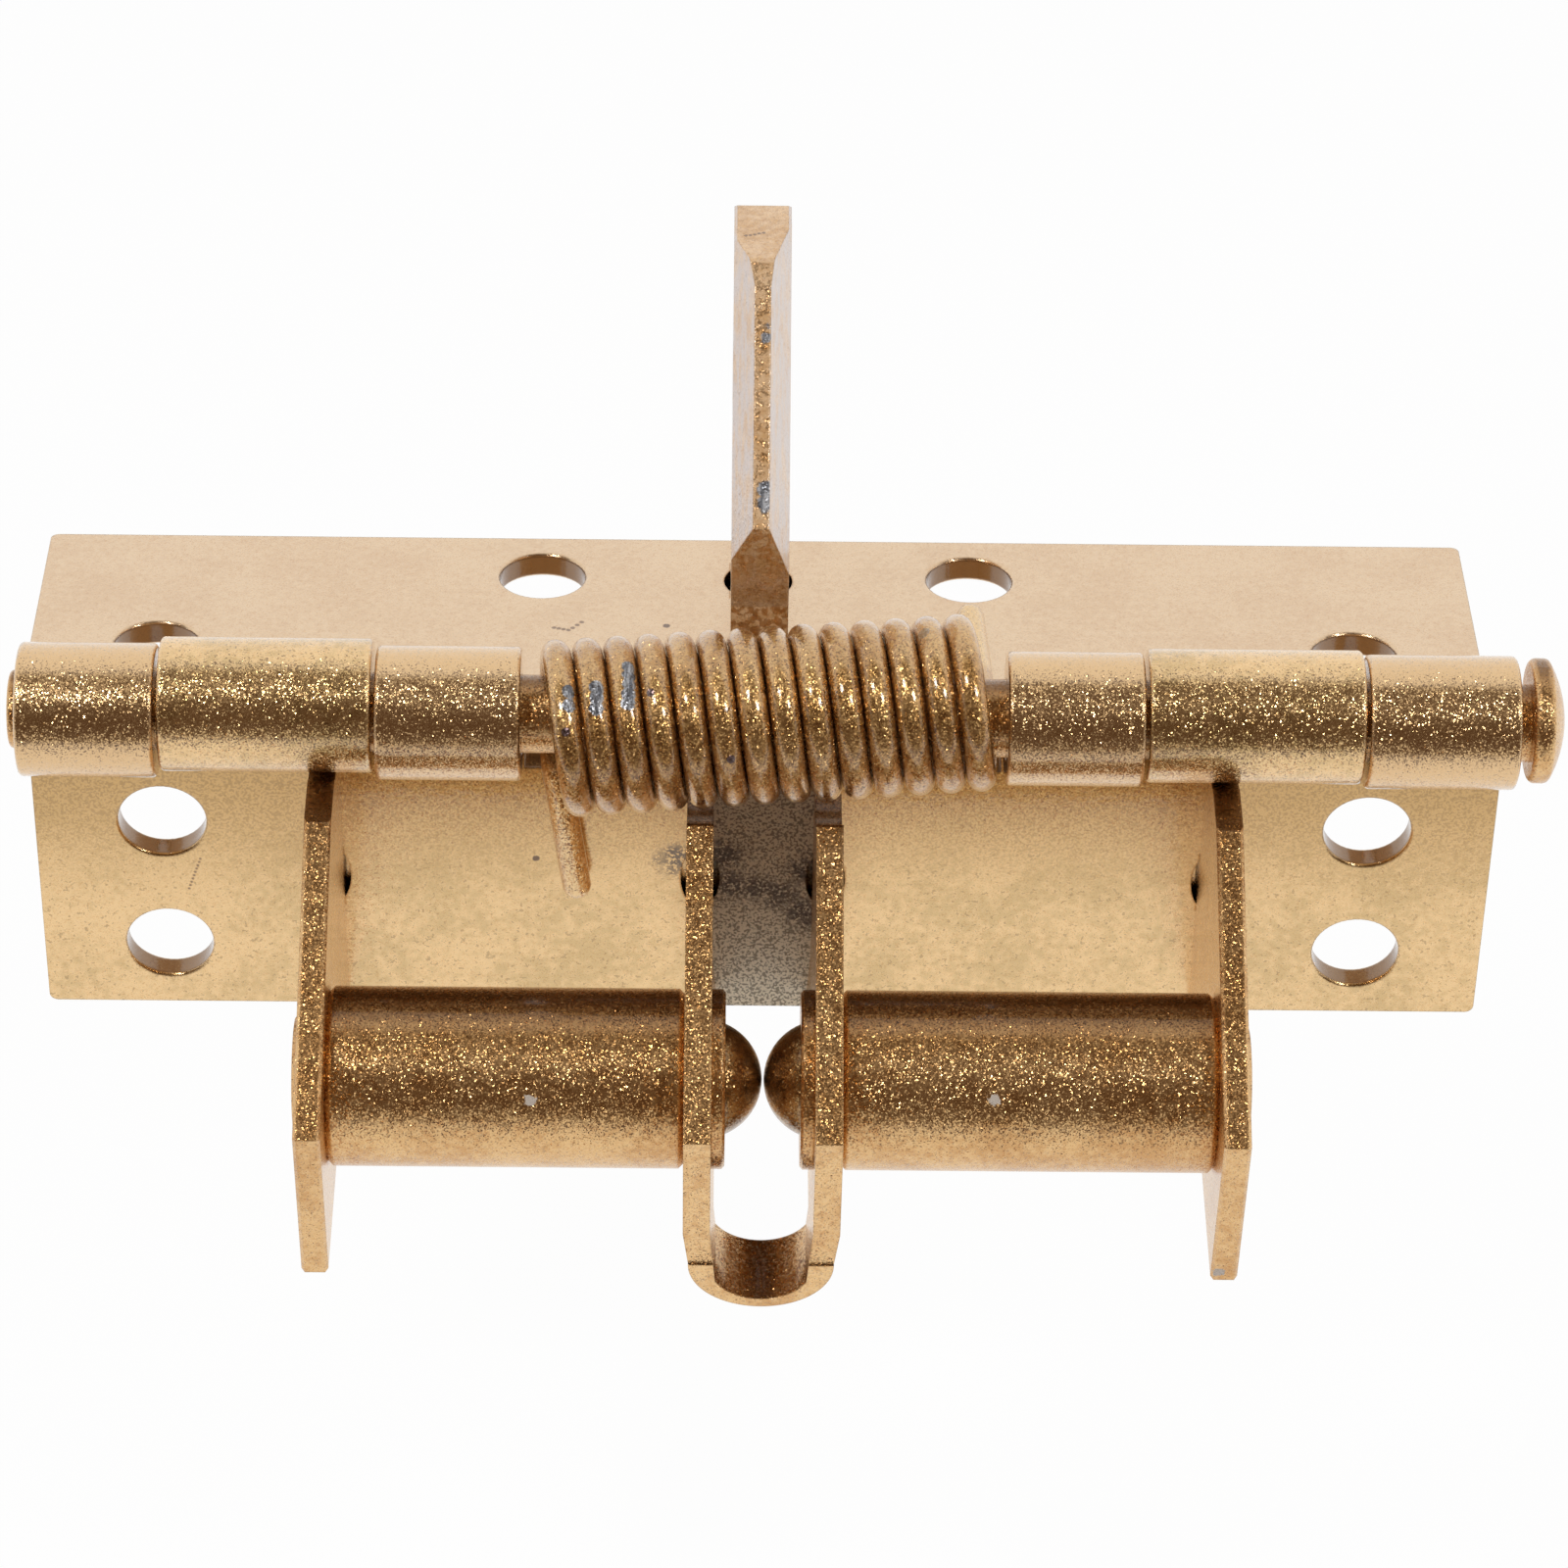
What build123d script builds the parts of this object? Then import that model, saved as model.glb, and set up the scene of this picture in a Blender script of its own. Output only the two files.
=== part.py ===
from build123d import *
import os
from math import asin, cos, degrees, radians, sin, sqrt, tan

# Self-closing spring hinge with a double ball catch that holds it open.
#
# Two sheet-metal leaves turn on one pin. The frame leaf lies flat, back face down, and carries a striker
# blade. The door leaf hangs from the pin as it rests when nothing holds it: the torsion spring has turned it
# until the leaves' edges meet. It carries two cheek plates and a U-shaped bracket, and between them two
# barrels, each with a sprung ball. Opened against the spring, the blade passes between the balls, which drop
# into its hole and hold the hinge open.
#
# Millimetres. +X runs along the pin, +Y out along the frame leaf, +Z out of its face. The origin lies on the
# frame leaf's back face, halfway between its two outer screw holes.

os.makedirs("parts", exist_ok=True)

# Leaves
leaf_width = 100.0
frame_reach = 28.3
door_reach = 28.65
sheet = 1.8
corner_radius = 0.6
knuckle_radius = 4.5
bore_radius = knuckle_radius - sheet
roll_seam = 0.22
rest_angle = 81.86
hold_open_angle = 85.0
side_play = 0.74
outer_face = sheet - knuckle_radius

# Knuckles, along X
knuckle_row = (-49.2, 50.8)
knuckle_joints = (-39.9, -25.5, 25.95, 40.6)
knuckle_gap = 0.25
knuckle_round = 0.3
door_roll_offsets = ((-0.34, -0.29), (-0.21, -0.18))
spring_bay = (-15.7, 16.7)
edge_clearance = 0.12
bay_depth = 7.0

# Screw holes, as (half spacing along X, reach from the pin)
screw_radius = 3.0
hole_rim = 0.25
frame_screws = ((41.3, 13.2), (15.0, 23.1))
door_screws = ((41.3, 12.1), (41.3, 23.2))

# Pin
pin_radius = 2.62
pin_tail = -49.85
pin_head = (51.65, 52.9, 54.05)
pin_head_radius = 4.2
pin_head_rise = 0.2
pin_head_round = 0.45
pin_end_round = 0.3

# Torsion spring
wire_radius = 1.0
coil_radius = 5.0
coil_pitch = 2.07
coil_turns = 14
coil_start = -13.7
coil_middle = 0.35
coil_tilt = 4.15
leg_bend = 2.2
leg_tips = (16.65, 16.0)
leg_slants = (0.127, 0.04)
leg_lift = 0.08

# Striker blade
blade = 3.9
striker_place = 0.17
blade_top = 25.4
blade_edge = 0.2
blade_land = 1.1
left_bevel = 3.0
right_bevel = 4.4
detent_radius = 2.3
blade_slot = (20.1, 25.1)

# Ball catch, with its lengths measured along X from the catch's own middle
catch_axis = (17.8, 16.5)
catch_middle = 0.62
ball_radius = 4.0
ball_gap = 0.1
inner_plate = 3.42
left_plate = 28.85
right_plate = 30.05
barrel_radius = 6.0
barrel_bore = 4.08
spigot_radius = 5.0
barrel_edge = 0.35
collar_thickness = 0.92
collar_mouth = 3.73
collar_flare = 0.29
collar_edge = 0.2
plug_head_radius = 4.35
plug_length = 4.2
plug_proud = 0.5
catch_wire_radius = 0.5
catch_coil_radius = 3.15
catch_coil_turns = 7

# Cheek plates, as (reach from the pin, height over the pin's plane)
cheek_front = (4.0, 6.7)
cheek_crest = (14.2, 26.6)
cheek_far = (28.2, 24.6)
cheek_foot = 4.1
foot_tab = (14.2, 19.4)
plate_edge = 0.22
coil_clearance = 7.6

# Staking
stake_bulge = 0.45
stake_depth = 1.2

# The U bracket in plan, as (half width, reach where the curve starts, reach of its far end)
legs_end = 23.9
strap_outside = (4.87, 27.05, 31.55)
strap_inside = (3.05, 28.9, 30.7)
strap_depth = 5.6

pin_y = -frame_screws[0][1]
pin_z = knuckle_radius
door_dir = Vector(0, cos(radians(rest_angle)), -sin(radians(rest_angle)))
door_out = Vector(0, -sin(radians(rest_angle)), -cos(radians(rest_angle)))
pin_centre = Vector(0, pin_y, pin_z)

# The leaves' backs meet this far from the pin, so an edge cut here is the hinge's own stop.
edge_cut = knuckle_radius / tan(radians(rest_angle / 2)) + edge_clearance

left_gap, low_gap, high_gap, right_gap = knuckle_joints
half_gap = knuckle_gap / 2
frame_knuckles = (
    (knuckle_row[0], left_gap - half_gap),
    (low_gap + half_gap, spring_bay[0]),
    (spring_bay[1], high_gap - half_gap),
    (right_gap + half_gap, knuckle_row[1]),
)
door_knuckles = ((left_gap + half_gap, low_gap - half_gap), (high_gap + half_gap, right_gap - half_gap))


def frame_side(x):
    """The plane across the pin at x: local x runs out along the frame leaf, local y out of its face."""
    return Plane(origin=(x, pin_y, pin_z), x_dir=(0, 1, 0), z_dir=(1, 0, 0))


def door_side(x):
    """The same plane for the door leaf; an extrusion from it runs towards -X."""
    return Plane(origin=(x, pin_y, pin_z), x_dir=door_dir, z_dir=(-1, 0, 0))


frame_back = Plane(origin=(0, pin_y, 0), x_dir=(1, 0, 0), z_dir=(0, 0, 1))
door_back = Plane(
    origin=pin_centre + Vector(side_play, 0, 0) - door_out * knuckle_radius, x_dir=(-1, 0, 0), z_dir=door_out
)


def leaf_outline(reach, knuckles, shift, mirrored, screws, slots):
    """A leaf's flat blank, with y out from the pin. Its edge is cut back past the other leaf's knuckles, and
    again round the spring. Each slot is (x, near, far, thickness)."""
    side = -1 if mirrored else 1
    with BuildSketch() as blank:
        with Locations((0, (edge_cut + reach) / 2)):
            Rectangle(leaf_width, reach - edge_cut)
        fillet(blank.vertices().group_by(Axis.Y)[-1], corner_radius)
        for low, high in knuckles:
            with Locations((side * ((low + high) / 2 - shift), (edge_cut + 1) / 2)):
                Rectangle(high - low, edge_cut + 1)
        with Locations((side * (sum(spring_bay) / 2 - shift), bay_depth / 2)):
            Rectangle(spring_bay[1] - spring_bay[0], bay_depth, mode=Mode.SUBTRACT)
        for half_spacing, place in screws:
            with Locations((-half_spacing, place), (half_spacing, place)):
                Circle(screw_radius, mode=Mode.SUBTRACT)
        for x, near, far, thickness in slots:
            with Locations((side * (x - shift), (near + far) / 2)):
                Rectangle(thickness, far - near, mode=Mode.SUBTRACT)
    return blank.sketch


def stake_marks(shift, mirrored, slots):
    """The hollows that staking each tab has pressed into the leaf's face, on both sides of its slot."""
    side = -1 if mirrored else 1
    with BuildSketch() as marks:
        for x, near, far, thickness in slots:
            with Locations((side * (x - shift), (near + far) / 2)):
                Ellipse(thickness / 2 + stake_bulge, (far - near) / 2)
    return marks.sketch


def knuckle_hollow():
    """What is open in a rolled knuckle: its bore, and the seam between the roll's end and the leaf's face."""
    with BuildSketch() as hollow:
        Circle(bore_radius)
        with Locations((knuckle_radius / 2, outer_face + roll_seam / 2)):
            Rectangle(knuckle_radius, roll_seam)
    return hollow.sketch


def rims(leaf, radius):
    """The round edges of a leaf that have this radius."""
    return leaf.edges().filter_by(GeomType.CIRCLE).filter_by(lambda edge: abs(edge.radius - radius) < 0.001)


frame_slots = [(striker_place, *blade_slot, blade)]
plate_places = [
    catch_middle + reach
    for reach in (
        -left_plate - sheet / 2, -inner_plate - sheet / 2, inner_plate + sheet / 2, right_plate + sheet / 2
    )
]
door_slots = [(x, *foot_tab, sheet) for x in plate_places]

with BuildPart() as frame_leaf:
    for low, high in frame_knuckles:
        with BuildSketch(frame_side(low)):
            Circle(knuckle_radius)
        extrude(amount=high - low)
    fillet(rims(frame_leaf, knuckle_radius), knuckle_round)
    for low, high in frame_knuckles:
        extrude(frame_side(low) * knuckle_hollow(), amount=high - low, mode=Mode.SUBTRACT)
    frame_blank = leaf_outline(frame_reach, frame_knuckles, 0, False, frame_screws, frame_slots)
    extrude(frame_back * frame_blank, amount=sheet)
    frame_marks = frame_back.offset(sheet) * stake_marks(0, False, frame_slots)
    extrude(frame_marks, amount=-stake_depth, mode=Mode.SUBTRACT)
    fillet(rims(frame_leaf, screw_radius), hole_rim)
frame_leaf.part.label = "frame_leaf"

with BuildPart() as door_leaf:
    # These two rolls are uneven: their outsides stand off the pin's centre.
    for (low, high), offset in zip(door_knuckles, door_roll_offsets):
        with BuildSketch(door_side(high)):
            with Locations(offset):
                Circle(knuckle_radius)
        extrude(amount=high - low)
    fillet(rims(door_leaf, knuckle_radius), knuckle_round)
    for low, high in door_knuckles:
        extrude(door_side(high) * knuckle_hollow(), amount=high - low, mode=Mode.SUBTRACT)
    door_blank = leaf_outline(door_reach, door_knuckles, side_play, True, door_screws, door_slots)
    extrude(door_back * door_blank, amount=sheet)
    door_marks = door_back.offset(sheet) * stake_marks(side_play, True, door_slots)
    extrude(door_marks, amount=-stake_depth, mode=Mode.SUBTRACT)
    fillet(rims(door_leaf, screw_radius), hole_rim)
door_leaf.part.label = "door_leaf"

with BuildPart() as hinge_pin:
    underside, rim, crown = pin_head
    with BuildSketch(Plane(origin=pin_centre + Vector(pin_tail, 0, 0), z_dir=(1, 0, 0))):
        Circle(pin_radius)
    extrude(amount=(underside + rim) / 2 - pin_tail)
    fillet(hinge_pin.edges().filter_by(GeomType.CIRCLE).group_by(Axis.X)[0], pin_end_round)
    # The domed head was upset a little off the pin's own axis.
    head_centre = pin_centre + Vector(0, 0, pin_head_rise)
    with BuildSketch(Plane(origin=head_centre, x_dir=(1, 0, 0), z_dir=(0, -1, 0))):
        with BuildLine():
            Polyline((crown, 0), (underside, 0), (underside, pin_head_radius), (rim, pin_head_radius))
            ThreePointArc(
                (rim, pin_head_radius), (rim + 0.76 * (crown - rim), pin_head_radius / 2), (crown, 0)
            )
        make_face()
    revolve(axis=Axis(head_centre, (1, 0, 0)))
    fillet(rims(hinge_pin, pin_head_radius), pin_head_round)
hinge_pin.part.label = "hinge_pin"

# The coil sits askew on the thinner pin: it rises towards +X. Its axis leans along coil_rise, which is the
# direction halfway between the leaves' faces, and each end stands off the pin's axis by its share.
coil_rise = Vector(0, cos(radians(57.9)), sin(radians(57.9)))
lean = tan(radians(coil_tilt))
coil_axis = (Vector(1, 0, 0) + coil_rise * lean).normalized()


def leg_entry(x, out, face):
    """Where the coil has to end for a bent leg to lie on a leaf: the angle below the leaf's direction at
    which the wire leaves the coil, from the coil's height over the leaf there."""
    centre = coil_rise * (lean * (x - coil_middle))
    level = outer_face + wire_radius + leg_lift - centre.dot(face)
    return degrees(asin((leg_bend - level) / (coil_radius + leg_bend)))


coil_end = coil_start + coil_turns * coil_pitch
start_below = leg_entry(coil_start, door_dir, door_out)
end_below = leg_entry(coil_end, Vector(0, 1, 0), Vector(0, 0, 1))
start_angle = -rest_angle + start_below
end_angle = 360 * coil_turns - end_below
turned = (end_angle - start_angle) / 360
coil_length = turned * coil_pitch
coil_origin = pin_centre + Vector(coil_start, 0, 0) + coil_rise * (lean * (coil_start - coil_middle))
start_radius = Vector(0, cos(radians(start_angle)), sin(radians(start_angle)))
coil_plane = Plane(
    origin=coil_origin, x_dir=start_radius - coil_axis * start_radius.dot(coil_axis), z_dir=coil_axis
)

with BuildLine() as coil_line:
    Helix(pitch=coil_pitch, height=coil_length, radius=coil_radius)
coil = coil_plane * coil_line.edge()

with BuildPart() as torsion_spring:
    tips = []
    with BuildLine() as wire_line:
        add(coil)
        for place, leave, leg, slant, leg_tip in (
            (coil @ 0, (coil % 0) * -1, door_dir, leg_slants[0], leg_tips[0]),
            (coil @ 1, coil % 1, Vector(0, 1, 0), -leg_slants[1], leg_tips[1]),
        ):
            run = (leg + Vector(slant, 0, 0)).normalized()
            half_turn = radians(leave.get_angle(run)) / 2
            bend_end = place + (leave + run) * (leg_bend * tan(half_turn))
            TangentArc(place, bend_end, tangent=leave)
            tip = bend_end + run * (leg_tip - (bend_end - pin_centre).dot(leg))
            Line(bend_end, tip)
            tips.append(tip)
    wire_path = wire_line.wires()[0]
    with BuildSketch(Plane(origin=wire_path @ 0, z_dir=wire_path % 0)):
        Circle(wire_radius)
    sweep(path=wire_path)
    with Locations(*tips):
        Sphere(wire_radius)
torsion_spring.part.label = "torsion_spring"

with BuildPart() as striker_blade:
    foot = outer_face
    nose_low = (5.0, 11.5)
    nose_high = (15.4, 24.3)
    with BuildSketch(frame_side(striker_place - blade / 2)):
        with BuildLine():
            Polyline(
                (8.6, foot),
                (8.3, 3.6),
                nose_low,
                nose_high,
                (17.2, blade_top),
                (24.8, blade_top + 0.3),
                (25.3, foot),
                close=True,
            )
        make_face()
        with Locations(((blade_slot[0] + blade_slot[1]) / 2, foot - sheet / 2)):
            Rectangle(blade_slot[1] - blade_slot[0], sheet)
    extrude(amount=blade)
    chamfer(striker_blade.faces().sort_by(Axis.Z)[-1].edges(), blade_edge)
    # The leading edge is ground to a wedge, deeper on its right side, and keeps a narrow land.
    nose_run = Vector(0, nose_high[0] - nose_low[0], nose_high[1] - nose_low[1]).normalized()
    nose_inward = Vector(0, nose_run.Z, -nose_run.Y)
    nose_start = pin_centre + Vector(striker_place, *nose_low)
    overrun = 12
    with BuildSketch(Plane(origin=nose_start - nose_run * overrun, x_dir=nose_inward, z_dir=nose_run)):
        for side, depth in ((1, left_bevel), (-1, right_bevel)):
            with BuildLine():
                Polyline(
                    (-1, side * blade_land / 2),
                    (0, side * blade_land / 2),
                    (depth, side * blade / 2),
                    (depth, side * blade),
                    (-1, side * blade),
                    close=True,
                )
            make_face()
    extrude(amount=3 * overrun, mode=Mode.SUBTRACT)
    # The hole that the balls drop into lies where the catch's axis crosses the blade as the leaves' faces
    # come to the hold-open angle.
    held_cos, held_sin = cos(radians(hold_open_angle)), sin(radians(hold_open_angle))
    with BuildSketch(frame_side(striker_place)):
        with Locations(
            (
                catch_axis[0] * held_cos + catch_axis[1] * held_sin,
                catch_axis[0] * held_sin - catch_axis[1] * held_cos,
            )
        ):
            Circle(detent_radius)
    extrude(amount=blade, both=True, mode=Mode.SUBTRACT)
striker_blade.part.label = "striker_blade"


def cheek_section(far_reach, around, hole):
    """A plate that stands on the door leaf, seen along the pin: its near side is hollowed by the arc of
    radius around the pin, and its tab goes through the leaf."""
    with BuildSketch() as plate:
        with BuildLine():
            Polyline(
                (cheek_foot, outer_face), cheek_front, cheek_crest, (far_reach, cheek_far[1]),
                (far_reach, outer_face), close=True,
            )
        make_face()
        Circle(around, mode=Mode.SUBTRACT)
        with Locations(((foot_tab[0] + foot_tab[1]) / 2, outer_face - sheet / 2)):
            Rectangle(foot_tab[1] - foot_tab[0], sheet)
        with Locations(catch_axis):
            Circle(hole, mode=Mode.SUBTRACT)
    return plate.sketch


outer_section = cheek_section(cheek_far[0], knuckle_radius + 0.2, barrel_bore)


def eased(cheek):
    """The edges of a cheek plate's front and crest, which are broken before it is staked to the leaf."""
    rims = cheek.faces().filter_by(Axis.X).edges().filter_by(GeomType.LINE)
    return [rim for rim in rims if (rim.center() - pin_centre).dot(door_out) > cheek_front[1]]


with BuildPart() as left_outer_cheek:
    extrude(door_side(catch_middle - left_plate) * outer_section, amount=sheet)
    chamfer(eased(left_outer_cheek), plate_edge)
left_outer_cheek.part.label = "left_outer_cheek"

with BuildPart() as right_outer_cheek:
    extrude(door_side(catch_middle + right_plate + sheet) * outer_section, amount=sheet)
    chamfer(eased(right_outer_cheek), plate_edge)
right_outer_cheek.part.label = "right_outer_cheek"

outer_half, outer_start, outer_far = strap_outside
inner_half, inner_start, inner_far = strap_inside
crest_slope = (cheek_far[1] - cheek_crest[1]) / (cheek_far[0] - cheek_crest[0])
strap_top = cheek_crest[1] + crest_slope * (outer_start - cheek_crest[0])
strap_end_top = cheek_crest[1] + crest_slope * (outer_far + 1 - cheek_crest[0])

with BuildSketch() as bracket_side:
    add(cheek_section(outer_start, coil_clearance, spigot_radius))
    with BuildLine():
        Polyline(
            (outer_start, strap_top),
            (outer_far + 1, strap_end_top),
            (outer_far + 1, strap_end_top - strap_depth),
            (outer_start, strap_top - strap_depth),
            close=True,
        )
    make_face()

with BuildPart() as inner_u_bracket:
    # The strip bent to a U, seen from above the door leaf: the bend has drawn its legs together and has
    # stretched it thin at the far end.
    near_end = cheek_front[0] - 1
    with BuildSketch(
        Plane(
            origin=pin_centre + Vector(catch_middle, 0, 0) + door_out * (outer_face - sheet),
            x_dir=(-1, 0, 0),
            z_dir=door_out,
        )
    ):
        leg_outside = inner_plate + sheet
        with BuildLine():
            Polyline(
                (-outer_half, outer_start),
                (-leg_outside, legs_end),
                (-leg_outside, near_end),
                (leg_outside, near_end),
                (leg_outside, legs_end),
                (outer_half, outer_start),
            )
            EllipticalCenterArc((0, outer_start), outer_half, outer_far - outer_start, arc_size=180)
        make_face()
        with BuildLine():
            Polyline(
                (-inner_half, inner_start),
                (-inner_plate, legs_end),
                (-inner_plate, near_end),
                (inner_plate, near_end),
                (inner_plate, legs_end),
                (inner_half, inner_start),
            )
            ThreePointArc((inner_half, inner_start), (0, inner_far), (-inner_half, inner_start))
        make_face(mode=Mode.SUBTRACT)
    extrude(amount=cheek_crest[1] - outer_face + 2 * sheet)
    # Its side profile is cut last.
    extrude(
        door_side(catch_middle + 2 * inner_plate) * bracket_side.sketch,
        amount=4 * inner_plate,
        mode=Mode.INTERSECT,
    )
inner_u_bracket.part.label = "inner_u_bracket"

catch_line = Axis(
    pin_centre + Vector(catch_middle, 0, 0) + door_dir * catch_axis[0] + door_out * catch_axis[1], (1, 0, 0)
)


def turned(side, *outline):
    """Half the section of a piece turned about the catch's axis, from its points (distance, radius)."""
    with BuildSketch() as section:
        with BuildLine():
            Polyline(*outline, close=True)
        make_face()
    return Plane(origin=catch_line.position, x_dir=(side, 0, 0), z_dir=door_dir * side) * section.sketch


def barrel(side, end):
    """The section of a barrel, whose spigot goes through the inner plate."""
    shoulder = inner_plate + sheet
    return turned(
        side,
        (inner_plate, barrel_bore),
        (inner_plate, spigot_radius),
        (shoulder, spigot_radius),
        (shoulder, barrel_radius - barrel_edge),
        (shoulder + barrel_edge, barrel_radius),
        (end - barrel_edge, barrel_radius),
        (end, barrel_radius - barrel_edge),
        (end, barrel_bore),
    )


def collar(side):
    """The section of the washer that keeps a ball in, with a flared mouth."""
    near = inner_plate - collar_thickness
    return turned(
        side,
        (near, collar_mouth),
        (near, barrel_radius - collar_edge),
        (near + collar_edge, barrel_radius),
        (inner_plate, barrel_radius),
        (inner_plate, collar_mouth + collar_flare),
    )


def end_plug(side, end):
    """The section of the plug that closes a barrel, whose head stands proud of the outer plate."""
    inside = end - plug_length
    outside = end + sheet
    return turned(
        side,
        (inside, 0),
        (inside, barrel_bore),
        (outside, barrel_bore),
        (outside, plug_head_radius),
        (outside + plug_proud, plug_head_radius - plug_proud),
        (outside + plug_proud, 0),
    )


# The spring's first turn rests on the back of the ball, and its last on the plug.
ball_place = ball_radius + ball_gap / 2
seat_gap = 0.06
seat_reach = sqrt((ball_radius + catch_wire_radius + seat_gap) ** 2 - catch_coil_radius**2)
catch_coil_start = ball_place + seat_reach


def along_catch(side, distance):
    """The plane across the catch's axis at a distance from its middle, facing outwards."""
    return Plane(
        origin=catch_line.position + Vector(side * distance, 0, 0), x_dir=door_dir, z_dir=(side, 0, 0)
    )


def catch_coil(side, end):
    """The line of a ball's spring, between the back of the ball and the plug."""
    length = end - plug_length - catch_wire_radius - seat_gap - catch_coil_start
    with BuildLine() as line:
        Helix(pitch=length / catch_coil_turns, height=length, radius=catch_coil_radius)
    return along_catch(side, catch_coil_start) * line.wire()


left_coil = catch_coil(-1, left_plate)
right_coil = catch_coil(1, right_plate)

with BuildPart() as left_barrel:
    revolve(barrel(-1, left_plate), axis=catch_line)
left_barrel.part.label = "left_barrel"

with BuildPart() as right_barrel:
    revolve(barrel(1, right_plate), axis=catch_line)
right_barrel.part.label = "right_barrel"

with BuildPart() as left_ball_collar:
    revolve(collar(-1), axis=catch_line)
left_ball_collar.part.label = "left_ball_collar"

with BuildPart() as right_ball_collar:
    revolve(collar(1), axis=catch_line)
right_ball_collar.part.label = "right_ball_collar"

with BuildPart() as left_end_plug:
    revolve(end_plug(-1, left_plate), axis=catch_line)
left_end_plug.part.label = "left_end_plug"

with BuildPart() as right_end_plug:
    revolve(end_plug(1, right_plate), axis=catch_line)
right_end_plug.part.label = "right_end_plug"

with BuildPart() as left_catch_ball:
    with Locations(along_catch(-1, ball_place)):
        Sphere(ball_radius)
left_catch_ball.part.label = "left_catch_ball"

with BuildPart() as right_catch_ball:
    with Locations(along_catch(1, ball_place)):
        Sphere(ball_radius)
right_catch_ball.part.label = "right_catch_ball"

with BuildPart() as left_ball_spring:
    with BuildSketch(Plane(origin=left_coil @ 0, z_dir=left_coil % 0)):
        Circle(catch_wire_radius)
    sweep(path=left_coil, is_frenet=True)
left_ball_spring.part.label = "left_ball_spring"

with BuildPart() as right_ball_spring:
    with BuildSketch(Plane(origin=right_coil @ 0, z_dir=right_coil % 0)):
        Circle(catch_wire_radius)
    sweep(path=right_coil, is_frenet=True)
right_ball_spring.part.label = "right_ball_spring"

export_step(frame_leaf.part, "parts/frame_leaf.step")
export_step(door_leaf.part, "parts/door_leaf.step")
export_step(hinge_pin.part, "parts/hinge_pin.step")
export_step(torsion_spring.part, "parts/torsion_spring.step")
export_step(striker_blade.part, "parts/striker_blade.step")
export_step(left_outer_cheek.part, "parts/left_outer_cheek.step")
export_step(right_outer_cheek.part, "parts/right_outer_cheek.step")
export_step(inner_u_bracket.part, "parts/inner_u_bracket.step")
export_step(left_barrel.part, "parts/left_barrel.step")
export_step(right_barrel.part, "parts/right_barrel.step")
export_step(left_ball_collar.part, "parts/left_ball_collar.step")
export_step(right_ball_collar.part, "parts/right_ball_collar.step")
export_step(left_end_plug.part, "parts/left_end_plug.step")
export_step(right_end_plug.part, "parts/right_end_plug.step")
export_step(left_catch_ball.part, "parts/left_catch_ball.step")
export_step(right_catch_ball.part, "parts/right_catch_ball.step")
export_step(left_ball_spring.part, "parts/left_ball_spring.step")
export_step(right_ball_spring.part, "parts/right_ball_spring.step")
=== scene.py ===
# %% [markdown]
# # A spring hinge with a double ball catch
#
# The hinge is pressed from steel sheet, put together and then sprayed all over with a gold metallic paint.
# Its shapes come ready made from the CAD model, which loads first and stays where it is. This lesson gives
# every piece its finish, makes finer springs, and sets up the light of a white product photograph.

# %% Load the model
from math import acos, asin, cos, pi, radians, sin, tan

import bpy
import numpy as np
from mathutils import Matrix


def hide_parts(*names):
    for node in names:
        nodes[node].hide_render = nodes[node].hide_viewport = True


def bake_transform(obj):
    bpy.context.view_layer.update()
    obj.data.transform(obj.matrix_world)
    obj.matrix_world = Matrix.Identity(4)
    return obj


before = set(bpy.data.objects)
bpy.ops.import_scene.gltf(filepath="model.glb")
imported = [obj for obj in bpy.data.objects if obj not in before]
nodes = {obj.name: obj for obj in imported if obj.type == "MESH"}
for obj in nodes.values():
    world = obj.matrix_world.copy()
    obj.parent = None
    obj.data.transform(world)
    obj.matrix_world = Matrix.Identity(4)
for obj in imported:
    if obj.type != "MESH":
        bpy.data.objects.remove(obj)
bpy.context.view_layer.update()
MM = 0.001

# %% [markdown]
# ## Where the pin and the two leaves are
#
# Every position below is worked out from three facts of the model: the pin's axis, the direction in which
# each leaf runs out from it, and the direction that each leaf faces. The frame leaf lies flat. The door leaf
# hangs at 81.86 degrees from it, where the spring rests.

# %% The hinge's own directions, in millimetres
REST_ANGLE = radians(81.86)
PIN = np.array([0.0, -13.2, 4.5])
ALONG_PIN = np.array([1.0, 0.0, 0.0])
FRAME_OUT = np.array([0.0, 1.0, 0.0])
FRAME_FACE = np.array([0.0, 0.0, 1.0])
DOOR_OUT = np.array([0.0, cos(REST_ANGLE), -sin(REST_ANGLE)])
DOOR_FACE = np.array([0.0, -sin(REST_ANGLE), -cos(REST_ANGLE)])


def on_door(x, reach, height):
    """A place along the pin, out along the door leaf and up from its face, in millimetres."""
    return PIN + x * ALONG_PIN + reach * DOOR_OUT + height * DOOR_FACE


print("the door leaf runs towards", DOOR_OUT.round(3), "and faces", DOOR_FACE.round(3))

# %% [markdown]
# ## Colours and nodes
#
# A paint maker's colour is written as an sRGB hex value, which is what a screen shows. Blender's shaders
# count light, so each value is turned to linear first.

# %% Colours
def linear(hex_colour):
    """An sRGB hex colour as linear RGBA: up to 0.04045 it is divided by 12.92, and above that it is
    ((c + 0.055) / 1.055) ^ 2.4."""
    srgb = np.array([int(hex_colour[i:i + 2], 16) for i in (1, 3, 5)]) / 255
    light = np.where(srgb <= 0.04045, srgb / 12.92, ((srgb + 0.055) / 1.055) ** 2.4)
    return (*light.tolist(), 1.0)


print("linear gold", [round(part, 3) for part in linear("#E2C49E")])

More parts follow.
